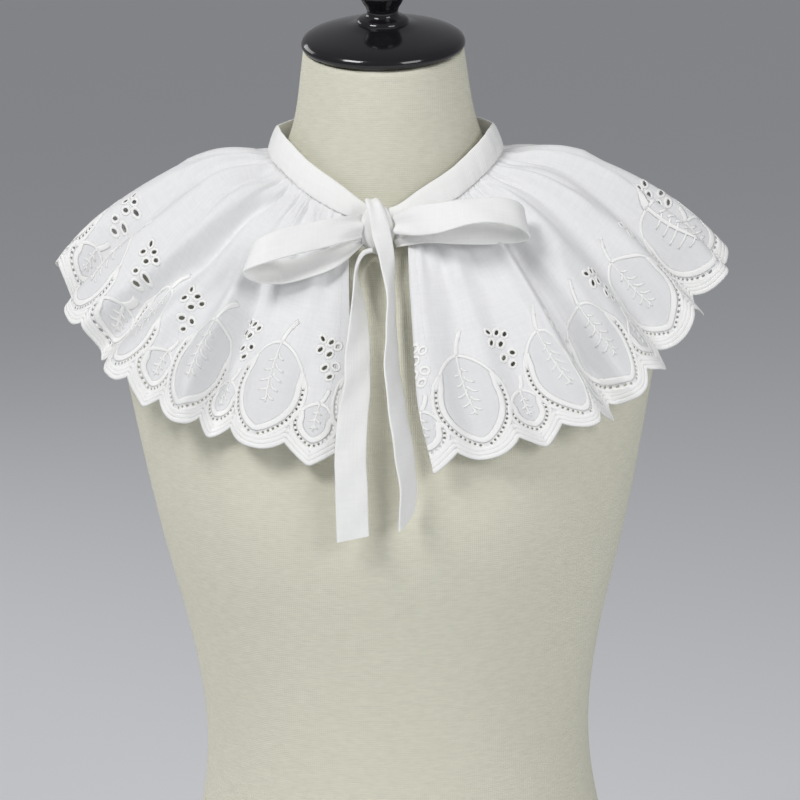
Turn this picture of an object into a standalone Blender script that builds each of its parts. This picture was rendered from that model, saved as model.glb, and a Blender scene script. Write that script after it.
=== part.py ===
"""False collar on a dress form.

A gathered collar of scalloped eyelet cloth is sewn to a narrow neckband, whose two ends are
tied in a bow at the front. It lies on a plain limbless dress form with a turned cap.
Metres, +Z up, front toward -Y, origin at the middle of the form's flat base.
"""
import math

import bmesh
import bpy
import numpy as np
from mathutils import Vector

# Driving dimensions
NECK_Z = 0.652
CAPE_LENGTH = 1.102
CAPE_DEPTH = 0.170
CAPE_WALL = 0.0012
REPEAT = 0.064
SMALL_SCALLOP = 0.0144
FIRST_TIP = 0.014
CENTRE_BACK = FIRST_TIP + 8 * REPEAT
GATHER_PITCH = 0.016
GATHER_DEPTH = 0.0030
BAND_HEIGHT = 0.0175
BAND_WALL = 0.0022
TIE_WALL = 0.0018
SEAM_GAP = 0.0008
CAP_TILT = math.radians(15.0)
NECK_LEAN = 0.004

# Rings of the cloth from the seam outward, measured from the middle of the neck at NECK_Z
# left, right, front, back, z_front, z_left, z_right, z_back, edge_left, edge_right,
# sag_left, sag_right, square_left, square_right
CAPE_RINGS = (
    (0.0720, 0.0720, 0.0600, 0.0600, -0.0410, -0.0025, -0.0035, 0.0060, 0.0225, 0.0120, 2.00, 2.00, 1.00, 1.00),
    (0.1090, 0.1100, 0.0840, 0.0830, -0.0720, -0.0010, -0.0030, -0.0180, 0.0230, 0.0125, 2.00, 1.80, 1.00, 1.00),
    (0.1480, 0.1500, 0.1030, 0.1030, -0.1070, -0.0170, -0.0180, -0.0530, 0.0235, 0.0140, 1.65, 1.45, 0.97, 1.00),
    (0.1850, 0.1880, 0.1160, 0.1160, -0.1430, -0.0410, -0.0430, -0.0900, 0.0290, 0.0160, 1.35, 1.20, 0.93, 1.00),
    (0.2095, 0.2215, 0.1240, 0.1240, -0.1780, -0.0700, -0.0785, -0.1270, 0.0340, 0.0235, 1.20, 1.10, 0.91, 1.00),
    (0.2230, 0.2410, 0.1290, 0.1300, -0.2130, -0.1000, -0.1130, -0.1640, 0.0360, 0.0290, 1.15, 1.10, 0.91, 1.00),
)

# Troughs between the folds, from the seam to the hem, placed in degrees round from the left front edge
# at_hem, at_seam, deep, width_before, width_after
TROUGHS = (
    (6.0, 6.0, 0.0040, 6.0, 6.0),
    (22.0, 28.0, 0.0130, 8.0, 5.5),
    (38.0, 30.5, 0.0090, 6.0, 6.0),
    (56.0, 35.0, 0.0180, 9.0, 4.5),
    (74.0, 63.0, 0.0160, 8.0, 8.0),
    (90.0, 84.0, 0.0170, 8.0, 8.0),
    (107.0, 105.0, 0.0140, 9.0, 9.0),
    (125.0, 124.0, 0.0120, 9.0, 9.0),
    (143.0, 142.0, 0.0110, 9.0, 10.0),
    (162.0, 161.0, 0.0090, 10.0, 9.0),
    (181.0, 180.0, 0.0110, 9.0, 9.0),
    (200.0, 199.0, 0.0100, 9.0, 10.0),
    (219.0, 218.0, 0.0110, 10.0, 9.0),
    (238.0, 237.0, 0.0110, 9.0, 9.0),
    (256.0, 256.0, 0.0140, 9.0, 9.0),
    (274.0, 273.0, 0.0160, 8.0, 8.5),
    (291.0, 289.0, 0.0180, 8.5, 8.5),
    (308.0, 306.0, 0.0160, 8.0, 8.0),
    (324.5, 324.5, 0.0160, 3.2, 7.5),
    (340.0, 338.0, 0.0070, 5.0, 6.0),
    (352.0, 347.0, 0.0060, 5.5, 5.0),
)

# Distances of the cloth's mesh rows from the seam
CAPE_ROWS = (0.0, 0.009, 0.022, 0.041, 0.064, 0.0915, 0.0995, 0.1073, 0.1165, 0.133, 0.152, CAPE_DEPTH)

# Cloth taken up into the seam along the cut length, which sets how low the hem hangs
# place, taken_up
SEAM_TAKE_UP = (
    (0.000, 0.0130),
    (0.040, 0.0120),
    (0.078, 0.0070),
    (0.142, 0.0000),
    (0.206, 0.0000),
    (0.270, 0.0050),
    (0.334, 0.0160),
    (0.420, 0.0160),
    (0.526, 0.0140),
    (0.680, 0.0140),
    (0.782, 0.0040),
    (0.846, 0.0070),
    (0.910, 0.0070),
    (0.974, 0.0000),
    (1.038, 0.0100),
    (1.102, 0.0130),
)

# Degrees by which the gathers are pushed round toward the front
# place, pushed
GATHER_PUSH = (
    (0.014, 0.0),
    (0.078, -1.0),
    (0.142, -3.0),
    (0.206, -6.0),
    (0.270, -9.0),
    (0.334, -9.0),
    (0.398, -6.0),
    (0.462, -3.0),
    (0.526, 0.0),
    (0.654, 4.0),
    (0.718, 7.0),
    (0.782, 10.0),
    (0.846, 10.5),
    (0.910, 8.5),
    (0.974, 3.5),
    (1.038, 0.0),
)

# Largest eyelets of each repeat, from the middle of its cluster
# across, down, length, width, turn in degrees
EYELETS = (
    (0.0061, -0.0061, 0.0043, 0.0031, 20.0),
    (0.0004, -0.0009, 0.0045, 0.0032, 30.0),
    (-0.0068, -0.0027, 0.0043, 0.0030, 45.0),
    (0.0065, 0.0059, 0.0044, 0.0031, -15.0),
    (-0.0010, 0.0076, 0.0043, 0.0030, 35.0),
)
CLUSTER_DEPTH = CAPE_DEPTH - 0.066

# Rings of the dress form, from the base up
# half_width, front, back, z_front, z_side, z_back, sag, square
FORM_RINGS = (
    (0.1560, 0.1060, 0.1130, 0.0000, 0.0000, 0.0000, 2.0, 1.00),
    (0.1590, 0.1090, 0.1190, 0.0700, 0.0700, 0.0700, 2.0, 1.00),
    (0.1480, 0.1040, 0.1100, 0.1500, 0.1500, 0.1500, 2.0, 1.00),
    (0.1285, 0.0960, 0.0930, 0.2250, 0.2250, 0.2250, 2.0, 1.00),
    (0.1195, 0.0930, 0.0835, 0.2850, 0.2850, 0.2850, 2.0, 1.00),
    (0.1270, 0.1010, 0.0855, 0.3480, 0.3500, 0.3500, 2.0, 1.00),
    (0.1450, 0.1190, 0.0950, 0.4150, 0.4200, 0.4200, 2.0, 1.02),
    (0.1620, 0.1170, 0.1070, 0.4480, 0.5080, 0.4900, 1.9, 1.06),
    (0.1700, 0.1120, 0.1080, 0.4780, 0.5640, 0.5250, 1.7, 1.10),
    (0.1620, 0.1055, 0.1040, 0.5100, 0.5990, 0.5600, 1.6, 1.14),
    (0.1385, 0.0945, 0.0930, 0.5430, 0.6215, 0.5960, 1.7, 1.14),
    (0.1070, 0.0770, 0.0755, 0.5750, 0.6370, 0.6290, 1.8, 1.08),
    (0.0770, 0.0590, 0.0590, 0.5990, 0.6425, 0.6480, 1.8, 1.02),
    (0.0630, 0.0490, 0.0510, 0.6150, 0.6520, 0.6620, 1.6, 1.00),
    (0.0550, 0.0485, 0.0470, 0.6480, 0.6730, 0.6840, 1.3, 1.00),
    (0.0515, 0.0510, 0.0455, 0.6760, 0.6960, 0.7070, 1.1, 1.00),
    (0.0490, 0.0530, 0.0450, 0.6998, 0.7140, 0.7261, 1.0, 1.00),
)

# Course of each tie, from the knot outward, measured like the cloth
# x, y, z, lean, turn, width
LOOP_LEFT = (
    (-0.0148, -0.0706, -0.0405, 25, 0, 0.014),
    (-0.0300, -0.0830, -0.0420, 27, 0, 0.017),
    (-0.0600, -0.0960, -0.0470, 30, 4, 0.019),
    (-0.0740, -0.0990, -0.0510, 30, 10, 0.019),
    (-0.0810, -0.0950, -0.0560, 32, 18, 0.019),
    (-0.0770, -0.0890, -0.0620, 40, 12, 0.019),
    (-0.0640, -0.0860, -0.0650, 50, 4, 0.019),
    (-0.0470, -0.0840, -0.0625, 48, -5, 0.018),
    (-0.0300, -0.0790, -0.0570, 42, -8, 0.015),
    (-0.0150, -0.0662, -0.0500, 30, 0, 0.007),
)
LOOP_RIGHT = (
    (0.0050, -0.0706, -0.0395, 25, 0, 0.013),
    (0.0160, -0.0810, -0.0370, 20, 0, 0.018),
    (0.0300, -0.0890, -0.0350, 25, 2, 0.019),
    (0.0470, -0.0910, -0.0315, 42, 3, 0.019),
    (0.0620, -0.0890, -0.0310, 45, 0, 0.019),
    (0.0760, -0.0830, -0.0340, 38, -8, 0.019),
    (0.0820, -0.0750, -0.0400, 28, -12, 0.019),
    (0.0760, -0.0700, -0.0440, 25, -8, 0.018),
    (0.0600, -0.0730, -0.0450, 22, -4, 0.016),
    (0.0420, -0.0770, -0.0450, 20, 0, 0.014),
    (0.0240, -0.0760, -0.0450, 20, 0, 0.012),
    (0.0050, -0.0662, -0.0500, 20, 0, 0.008),
)
TAIL_LEFT = (
    (-0.0085, -0.0754, -0.0540, 0, 90, 0.009),
    (-0.0145, -0.0795, -0.0560, 0, 90, 0.013),
    (-0.0183, -0.0865, -0.0640, 0, 88, 0.017),
    (-0.0185, -0.0935, -0.0740, 0, 78, 0.019),
    (-0.0175, -0.1020, -0.0890, 0, 60, 0.019),
    (-0.0184, -0.1120, -0.1080, 0, 44, 0.019),
    (-0.0190, -0.1195, -0.1270, 0, 38, 0.019),
    (-0.0220, -0.1260, -0.1470, 0, 20, 0.019),
    (-0.0236, -0.1300, -0.1670, 0, 15, 0.019),
    (-0.0235, -0.1320, -0.1860, 0, 12, 0.019),
    (-0.0233, -0.1325, -0.2160, 0, 10, 0.019),
)
TAIL_RIGHT = (
    (-0.0085, -0.0672, -0.0255, 0, 20, 0.009),
    (-0.0072, -0.0714, -0.0278, 0, 20, 0.010),
    (-0.0050, -0.0746, -0.0360, 0, 20, 0.011),
    (-0.0030, -0.0758, -0.0460, 0, 20, 0.012),
    (-0.0008, -0.0790, -0.0570, 0, 38, 0.012),
    (0.0009, -0.0870, -0.0710, 0, 62, 0.013),
    (0.0015, -0.0955, -0.0830, 0, 75, 0.016),
    (0.0013, -0.1040, -0.0990, 0, 72, 0.018),
    (0.0012, -0.1130, -0.1190, 0, 64, 0.019),
    (0.0038, -0.1210, -0.1420, 0, 58, 0.019),
    (0.0070, -0.1265, -0.1650, 0, 57, 0.019),
    (0.0093, -0.1285, -0.1870, 0, 60, 0.019),
    (0.0081, -0.1290, -0.2070, 0, 60, 0.019),
)

# Turned cap and knob, radius and height from the underside's middle
CAP_PROFILE = (
    (0.0000, 0.0440),
    (0.0080, 0.0435),
    (0.0130, 0.0400),
    (0.0145, 0.0350),
    (0.0125, 0.0290),
    (0.0095, 0.0240),
    (0.0100, 0.0205),
    (0.0150, 0.0185),
    (0.0160, 0.0155),
    (0.0300, 0.0125),
    (0.0440, 0.0090),
    (0.0490, 0.0060),
    (0.0500, 0.0030),
    (0.0485, 0.0005),
    (0.0470, 0.0000),
    (0.0000, 0.0000),
)


def clear_scene():
    for obj in list(bpy.data.objects):
        bpy.data.objects.remove(obj, do_unlink=True)


def catmull(values, places):
    """Smooth values between equally spaced rows, read at places counted in rows."""
    values = np.asarray(values, float)
    places = np.asarray(places, float)
    cell = np.clip(np.floor(places).astype(int), 0, len(values) - 2)
    part = (places - cell)[:, None]
    first = 2 * values[:1] - values[1:2]
    last = 2 * values[-1:] - values[-2:-1]
    ends = np.concatenate([first, values, last])
    a, b, c, d = ends[cell], ends[cell + 1], ends[cell + 2], ends[cell + 3]
    return 0.5 * (2 * b + (c - a) * part + (2 * a - 5 * b + 4 * c - d) * part ** 2
                  + (3 * b - a - 3 * c + d) * part ** 3)


def cape_ring(row, turn):
    """Points of one ring of the cloth at the given degrees from its left front edge."""
    left, right, front, back, z_front, z_left, z_right, z_back = row[:8]
    edge_left, edge_right, sag_left, sag_right, square_left, square_right = row[8:]
    start = math.asin((edge_left / left) ** (1 / square_left))
    end = 2 * math.pi - math.asin((edge_right / right) ** (1 / square_right))
    angle = start + (end - start) * turn / 360.0
    sine, cosine = np.sin(angle), np.cos(angle)
    on_left, ahead = sine > 0, cosine > 0
    width = np.where(on_left, left, right)
    side = np.where(on_left, z_left, z_right)
    square = np.where(ahead, np.where(on_left, square_left, square_right), 1.0)
    sag = np.where(on_left, sag_left, sag_right)
    x = -width * np.sign(sine) * np.abs(sine) ** square
    y = np.where(ahead, -front * cosine, -back * cosine)
    z = np.where(ahead, side + (z_front - side) * np.abs(cosine) ** sag,
                 side + (z_back - side) * cosine ** 2)
    return np.stack([x, y, z], -1)


def trough_depth(turn, depth):
    """How far the long troughs sink inward below the resting cloth."""
    down = np.clip(depth / CAPE_DEPTH, 0.0, 1.1)
    sunk = np.zeros_like(depth)
    for at_hem, at_seam, deep, before, after in TROUGHS:
        place = at_seam + (at_hem - at_seam) * down
        away = turn - place
        away = np.where(away < 0, away / before, away / after)
        hollow = np.where(np.abs(away) < 1, np.cos(np.pi * away / 2) ** 2, 0.0)
        sunk += deep * np.clip(1.25 * down, 0, 1) ** 0.9 * hollow
    return sunk


def gather_depth(along, depth):
    """Depth of the small gathers that the seam draws up, fading down the cloth."""
    number = np.floor(along / GATHER_PITCH)
    reach = 0.017 + 0.010 * (1 + np.sin(2.4 * number))
    size = 0.8 + 0.2 * np.sin(1.7 * number + 1.0)
    wave = np.sin(np.pi * along / GATHER_PITCH) ** 2
    wave = wave * (1.0 - np.exp(-((along - CENTRE_BACK) / 0.012) ** 2))
    return GATHER_DEPTH * size * wave * np.exp(-(depth / reach) ** 1.5)


def cape_surface(turn, depth, along=None):
    """Points of the draped cloth for a grid of turns (columns) and depths (rows by columns)."""
    table = catmull(CAPE_RINGS, np.linspace(0, len(CAPE_RINGS) - 1, 101))
    rings = np.array([cape_ring(row, turn) for row in table])
    beside = np.array([cape_ring(row, turn + 0.5) for row in table]) - rings
    steps = np.linalg.norm(np.diff(rings, axis=0), axis=-1)
    fallen = np.concatenate([np.zeros((1, len(turn))), np.cumsum(steps, axis=0)])
    points = np.empty(depth.shape + (3,))
    slope = np.empty(depth.shape + (3,))
    across = np.empty(depth.shape + (3,))
    for column in range(len(turn)):
        for axis in range(3):
            line = rings[:, column, axis]
            points[:, column, axis] = np.interp(depth[:, column], fallen[:, column], line)
            ahead = np.interp(depth[:, column] + 0.004, fallen[:, column], line)
            slope[:, column, axis] = ahead - points[:, column, axis]
            across[:, column, axis] = np.interp(depth[:, column], fallen[:, column], beside[:, column, axis])
    inward = np.cross(slope, across)
    inward /= np.linalg.norm(inward, axis=-1, keepdims=True)
    sunk = trough_depth(turn[None, :], depth)
    if along is not None:
        sunk = sunk + gather_depth(along[None, :], depth)
    return points + inward * sunk[..., None]


def cape_turns(along):
    """Degrees round the neck of places measured along the cloth's cut length."""
    turn = np.linspace(0.0, 360.0, 1441)
    depth = np.full((3, len(turn)), 0.8 * CAPE_DEPTH)
    line = cape_surface(turn, depth)[1]
    arc = np.concatenate([[0.0], np.cumsum(np.linalg.norm(np.diff(line, axis=0), axis=-1))])
    return np.interp(along, arc / arc[-1] * CAPE_LENGTH, turn)


def smooth_along(table, along):
    """Smooth values of a table of places and values, read along the cut length."""
    place, value = np.array(table).T
    fine = np.linspace(0.0, CAPE_LENGTH, 241)
    rough = np.interp(fine, place, value)
    near = np.exp(-((fine[:, None] - fine[None, :]) / 0.025) ** 2)
    return np.interp(along, fine, near @ rough / near.sum(axis=1))


def take_up(along):
    """Amount of cloth taken up into the seam at each place."""
    return smooth_along(SEAM_TAKE_UP, along)


def scallop(along):
    """Rise of the hem's edge: a small pointed and a large round scallop in each repeat."""
    place = ((along - FIRST_TIP) / REPEAT) % 1.0
    from_tip = np.minimum(place, 1.0 - place) * REPEAT
    small = 0.0105 * (from_tip / SMALL_SCALLOP) ** 1.15
    large = 0.0030 + 0.0075 * (np.abs(0.5 * REPEAT - from_tip) / (0.5 * REPEAT - SMALL_SCALLOP)) ** 2.2
    return np.where(from_tip < SMALL_SCALLOP, small, large)


def cape_depths(along, rows):
    """Depth of each mesh row (rows by columns) below the seam."""
    rows = rows[:, None]
    taken = take_up(along)[None, :] * np.clip(rows / 0.060, 0.0, 1.0)
    return rows - taken - scallop(along)[None, :] * (rows / CAPE_DEPTH) ** 2


def cape_points(along, depth):
    """Points at places along the cut length (columns) and depths (rows by columns)."""
    return cape_surface(cape_turns(along) + smooth_along(GATHER_PUSH, along), depth, along)


def new_material(name, color, roughness, metallic=0.0):
    material = bpy.data.materials.new(name)
    material.use_nodes = True
    shader = material.node_tree.nodes["Principled BSDF"]
    shader.inputs["Base Color"].default_value = (*color, 1.0)
    shader.inputs["Roughness"].default_value = roughness
    shader.inputs["Metallic"].default_value = metallic
    return material


def new_object(name, mesh, material, collection):
    obj = bpy.data.objects.new(name, mesh)
    collection.objects.link(obj)
    mesh.materials.append(material)
    mesh.shade_smooth()
    mesh.set_sharp_from_angle(angle=math.radians(50))
    return obj


def add_wall(obj, thickness):
    wall = obj.modifiers.new("Wall", "SOLIDIFY")
    wall.thickness = thickness
    wall.offset = 0.0
    wall.use_quality_normals = True


def grid_mesh(name, points, rims=None):
    """Open grid of points (rows by columns); a cell with a hole gets a ring of faces round it."""
    rows, columns = points.shape[:2]
    bm = bmesh.new()
    verts = [[bm.verts.new(Vector(points[i, j])) for j in range(columns)] for i in range(rows)]
    rims = rims or {}
    for i in range(rows - 1):
        for j in range(columns - 1):
            corners = [verts[i][j], verts[i + 1][j], verts[i + 1][j + 1], verts[i][j + 1]]
            if (i, j) not in rims:
                bm.faces.new(corners)
                continue
            rim = [bm.verts.new(Vector(point)) for point in rims[(i, j)]]
            for k in range(4):
                ahead = (k + 1) % 4
                bm.faces.new([corners[k], corners[ahead], rim[2 * ahead], rim[2 * k + 1], rim[2 * k]])
    mesh = bpy.data.meshes.new(name)
    bm.to_mesh(mesh)
    bm.free()
    return mesh


def eyelet_cells(along, depth):
    """Cells of the cloth's mesh that hold the largest eyelets, with each eyelet's place and size."""
    cells = {}
    for number in range(round(CAPE_LENGTH / REPEAT) + 1):
        for across, down, length, width, turn in EYELETS:
            place = FIRST_TIP + number * REPEAT - across
            column = int(np.searchsorted(along, place)) - 1
            if not 0 <= column < len(along) - 1:
                continue
            line = 0.5 * (depth[:, column] + depth[:, column + 1])
            level = CLUSTER_DEPTH + down - float(take_up(np.array([place]))[0])
            row = int(np.searchsorted(line, level)) - 1
            edge = 0.5 * length + 0.0008
            place = min(max(place, along[column] + edge), along[column + 1] - edge)
            level = min(max(level, line[row] + edge), line[row + 1] - edge)
            cells.setdefault((row, column), (place, level, length, width, math.radians(turn)))
    return cells


def eyelet_rim(cell, eyelet, along, depth, points):
    """Eight points of an oval eyelet inside one cell of the cloth."""
    row, column = cell
    place, level, length, width, turn = eyelet
    rim = []
    for k in range(8):
        angle = math.radians(225 - 45 * k)
        a, b = 0.5 * length, 0.5 * width
        radius = a * b / math.hypot(b * math.cos(angle - turn), a * math.sin(angle - turn))
        u = (place + radius * math.cos(angle) - along[column]) / (along[column + 1] - along[column])
        top = depth[row, column] * (1 - u) + depth[row, column + 1] * u
        bottom = depth[row + 1, column] * (1 - u) + depth[row + 1, column + 1] * u
        v = (level + radius * math.sin(angle) - top) / (bottom - top)
        upper = points[row, column] * (1 - u) + points[row, column + 1] * u
        lower = points[row + 1, column] * (1 - u) + points[row + 1, column + 1] * u
        rim.append(upper * (1 - v) + lower * v)
    return rim


def build_cape(name, along, material, collection):
    """One half of the gathered cloth, from its columns along the cut length."""
    depth = cape_depths(along, np.array(CAPE_ROWS))
    points = cape_points(along, depth) + np.array([0.0, 0.0, NECK_Z])
    if name == "cape_left":
        points[:, -1, 0] -= 0.5 * SEAM_GAP
    else:
        points[:, 0, 0] += 0.5 * SEAM_GAP
    rims = {cell: eyelet_rim(cell, eyelet, along, depth, points)
            for cell, eyelet in eyelet_cells(along, depth).items()}
    obj = new_object(name, grid_mesh(name, points, rims), material, collection)
    add_wall(obj, CAPE_WALL)
    return obj


def cape_columns():
    """Places of the mesh columns: four to each scallop, and the two front edges."""
    steps = (0.0, 0.0072, 0.0144, 0.0232, 0.0320, 0.0408, 0.0496, 0.0568)
    along = [0.0, 0.5 * FIRST_TIP]
    for number in range(round((CAPE_LENGTH - FIRST_TIP) / REPEAT)):
        along += [FIRST_TIP + number * REPEAT + step for step in steps]
    return np.array(along + [CAPE_LENGTH])


def build_form(material, collection):
    """Smooth limbless torso with a flat base and a flat neck top, lofted through its rings."""
    columns, rows = 40, 31
    table = catmull(FORM_RINGS, np.linspace(0, len(FORM_RINGS) - 1, rows))
    bm = bmesh.new()
    loops = []
    for half_width, front, back, z_front, z_side, z_back, sag, square in table:
        ring = []
        for column in range(columns):
            angle = 2 * math.pi * column / columns
            sine, cosine = math.sin(angle), math.cos(angle)
            depth, end = (front, z_front) if cosine > 0 else (back, z_back)
            x = half_width * math.copysign(abs(sine) ** square, sine)
            y = -depth * math.copysign(abs(cosine) ** square, cosine)
            z = z_side + (end - z_side) * abs(cosine) ** sag
            ring.append(bm.verts.new((x, y, max(z, 0.0))))
        loops.append(ring)
    for lower, upper in zip(loops, loops[1:]):
        for column in range(columns):
            ahead = (column + 1) % columns
            bm.faces.new([lower[column], lower[ahead], upper[ahead], upper[column]])
    bm.faces.new(list(reversed(loops[0])))
    bm.faces.new(loops[-1])
    mesh = bpy.data.meshes.new("form_torso")
    bm.to_mesh(mesh)
    bm.free()
    return new_object("form_torso", mesh, material, collection)


def build_cap(material, collection):
    """Turned cap and knob on the neck's tilted top."""
    mesh = bpy.data.meshes.new("form_cap")
    verts = [(radius, 0.0, height) for radius, height in CAP_PROFILE]
    mesh.from_pydata(verts, [(i, i + 1) for i in range(len(verts) - 1)], [])
    obj = new_object("form_cap", mesh, material, collection)
    turned = obj.modifiers.new("Turned", "SCREW")
    turned.axis = "Z"
    turned.steps = 28
    turned.render_steps = 28
    turned.use_merge_vertices = True
    turned.merge_threshold = 0.0001
    top = FORM_RINGS[-1]
    obj.rotation_euler = (CAP_TILT, 0.0, 0.0)
    lift = Vector((0.0, -math.sin(CAP_TILT), math.cos(CAP_TILT))) * 0.0006
    middle = Vector((0.0, -NECK_LEAN, top[4] - NECK_LEAN * math.tan(CAP_TILT)))
    obj.location = middle + lift
    return obj


def build_band(material, collection):
    """Standing neckband, from one side of the knot round the back to the other."""
    turn = np.linspace(-13.0, 369.0, 65)
    lower = cape_ring(CAPE_RINGS[0], turn)
    outward = lower * np.array([1.0, 1.0, 0.0])
    outward /= np.linalg.norm(outward, axis=-1, keepdims=True)
    lean = 0.32
    drawn = 1.0 - 0.50 * (np.exp(-((turn + 15.0) / 15.0) ** 2) + np.exp(-((turn - 371.0) / 15.0) ** 2))
    rows = []
    for share in (0.0, 0.33, 0.67, 1.0):
        rise = (BAND_HEIGHT * share * drawn)[:, None]
        inward = 0.0008 + rise * lean - 0.0008 * math.sin(math.pi * share)
        point = lower - outward * inward
        point[:, 2:3] += 0.0012 + rise * math.sqrt(1.0 - lean ** 2)
        rows.append(point)
    points = np.array(rows) + np.array([0.0, 0.0, NECK_Z])
    obj = new_object("neckband", grid_mesh("neckband", points[::-1]), material, collection)
    add_wall(obj, BAND_WALL)
    return obj


def build_knot(material, collection):
    """Tight wrapped knot: a squashed ball with a waist."""
    bpy.ops.mesh.primitive_uv_sphere_add(segments=18, ring_count=10, radius=1.0)
    obj = bpy.context.object
    obj.name = "knot"
    for other in list(obj.users_collection):
        other.objects.unlink(obj)
    collection.objects.link(obj)
    for vert in obj.data.vertices:
        x, y, z = vert.co
        vert.co = (0.0088 * x * (1.0 + 0.12 * z * z), 0.0066 * y, 0.0150 * z)
    obj.location = (-0.0050, -0.0663, NECK_Z - 0.0430)
    obj.data.materials.append(material)
    obj.data.shade_smooth()
    return obj


def build_tie(name, course, wall, material, collection):
    """Ribbon of cloth along a course of rows: place, lean and turn of its width, and width."""
    table = catmull(course, np.linspace(0, len(course) - 1, 3 * (len(course) - 1) + 1))
    rows = []
    for x, y, z, lean, turn, width in table:
        lean, turn = math.radians(lean), math.radians(turn)
        rows.append((Vector((x, y, z + NECK_Z)), lean, turn, width))
    flat = name.startswith("tail")
    points = []
    for share in (-0.5, 0.0, 0.5):
        line = []
        for place, lean, turn, width in rows:
            if flat:
                side = Vector((math.cos(turn), math.sin(turn), 0.0))
            else:
                side = Vector((math.sin(turn) * math.cos(lean), math.sin(lean), math.cos(turn) * math.cos(lean)))
            line.append(place + side * width * share)
        points.append(line)
    mesh = grid_mesh(name, np.array([[list(p) for p in line] for line in points]))
    obj = new_object(name, mesh, material, collection)
    add_wall(obj, wall)
    return obj


def build():
    clear_scene()
    collection = bpy.data.collections.new("false_collar")
    bpy.context.scene.collection.children.link(collection)
    cloth = new_material("cloth_left", (0.84, 0.85, 0.89), 0.85)
    cloth_right = new_material("cloth_right", (0.84, 0.85, 0.89), 0.85)
    band = new_material("band_cotton", (0.90, 0.90, 0.88), 0.8)
    linen = new_material("form_linen", (0.66, 0.62, 0.50), 0.9)
    lacquer = new_material("cap_lacquer", (0.010, 0.009, 0.011), 0.12)

    build_form(linen, collection)
    build_cap(lacquer, collection)
    build_band(band, collection)
    build_knot(new_material("knot_cotton", (0.90, 0.90, 0.88), 0.8), collection)
    for name, course in (("loop_left", LOOP_LEFT), ("loop_right", LOOP_RIGHT),
                         ("tail_left", TAIL_LEFT), ("tail_right", TAIL_RIGHT)):
        build_tie(name, course, TIE_WALL, new_material(name + "_cotton", (0.90, 0.90, 0.88), 0.8), collection)

    along = cape_columns()
    middle = int(np.argmin(np.abs(along - CENTRE_BACK)))
    build_cape("cape_left", along[:middle + 1], cloth, collection)
    build_cape("cape_right", along[middle:], cloth_right, collection)


build()
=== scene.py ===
"""Looks of a gathered eyelet false collar, tied in a bow on a linen dress form."""
import math

import bmesh
import bpy
import numpy as np
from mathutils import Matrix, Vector
from mathutils.bvhtree import BVHTree
from mathutils.geometry import delaunay_2d_cdt


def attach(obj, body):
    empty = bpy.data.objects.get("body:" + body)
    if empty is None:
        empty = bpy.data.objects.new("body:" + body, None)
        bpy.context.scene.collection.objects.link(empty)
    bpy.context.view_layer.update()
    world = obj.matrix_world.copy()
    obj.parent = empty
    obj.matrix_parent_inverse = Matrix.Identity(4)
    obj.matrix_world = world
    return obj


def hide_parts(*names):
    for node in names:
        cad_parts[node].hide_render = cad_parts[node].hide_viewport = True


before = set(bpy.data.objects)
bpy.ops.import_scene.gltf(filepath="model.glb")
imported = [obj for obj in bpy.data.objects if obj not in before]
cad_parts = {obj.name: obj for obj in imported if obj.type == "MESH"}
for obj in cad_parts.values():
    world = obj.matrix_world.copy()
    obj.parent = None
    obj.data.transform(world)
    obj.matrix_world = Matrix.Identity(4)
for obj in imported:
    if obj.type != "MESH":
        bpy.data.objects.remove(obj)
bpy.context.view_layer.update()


# Dress form
# A padded torso under a smooth linen cover, cut flat below the hips and at the top of the neck.
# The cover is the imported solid's own shape, rounded, with its two flat ends kept sharp.
def finish_of(name, color, roughness):
    """A new material, with its node tree and its shader."""
    material = bpy.data.materials.new(name)
    material.use_nodes = True
    shader = material.node_tree.nodes["Principled BSDF"]
    shader.inputs["Base Color"].default_value = (*color, 1.0)
    shader.inputs["Roughness"].default_value = roughness
    return material, material.node_tree, shader


def threads_of(tree, place, way, scale, distortion):
    """Fine threads that run one way over places on a piece."""
    wave = tree.nodes.new("ShaderNodeTexWave")
    wave.bands_direction = way
    wave.inputs["Scale"].default_value = scale
    wave.inputs["Distortion"].default_value = distortion
    tree.links.new(place, wave.inputs["Vector"])
    return wave.outputs["Fac"]


def slubs_of(tree, place, stretch, scale, detail):
    """Uneven threads or smears over places on a piece, drawn out by the given stretch."""
    drawn = tree.nodes.new("ShaderNodeMapping")
    drawn.inputs["Scale"].default_value = stretch
    tree.links.new(place, drawn.inputs["Vector"])
    noise = tree.nodes.new("ShaderNodeTexNoise")
    noise.inputs["Scale"].default_value = scale
    noise.inputs["Detail"].default_value = detail
    tree.links.new(drawn.outputs["Vector"], noise.inputs["Vector"])
    return noise.outputs["Fac"]


def crossed(tree, warp, weft):
    """Threads or slubs of both ways together."""
    mix = tree.nodes.new("ShaderNodeMix")
    mix.data_type = "FLOAT"
    mix.inputs["Factor"].default_value = 0.5
    tree.links.new(warp, mix.inputs["A"])
    tree.links.new(weft, mix.inputs["B"])
    return mix.outputs["Result"]


def dyed(tree, shader, share, first, second):
    """Colour of a shader, by a share between two colours; the first may be a node's output."""
    mix = tree.nodes.new("ShaderNodeMix")
    mix.data_type = "RGBA"
    tree.links.new(share, mix.inputs["Factor"])
    if isinstance(first, tuple):
        mix.inputs["A"].default_value = (*first, 1.0)
    else:
        tree.links.new(first, mix.inputs["A"])
    mix.inputs["B"].default_value = (*second, 1.0)
    tree.links.new(mix.outputs["Result"], shader.inputs["Base Color"])
    return mix.outputs["Result"]


def raised(tree, shader, height, strength, distance):
    """Relief too fine for the mesh."""
    bump = tree.nodes.new("ShaderNodeBump")
    bump.inputs["Strength"].default_value = strength
    bump.inputs["Distance"].default_value = distance
    tree.links.new(height, bump.inputs["Height"])
    tree.links.new(bump.outputs["Normal"], shader.inputs["Normal"])


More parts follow.
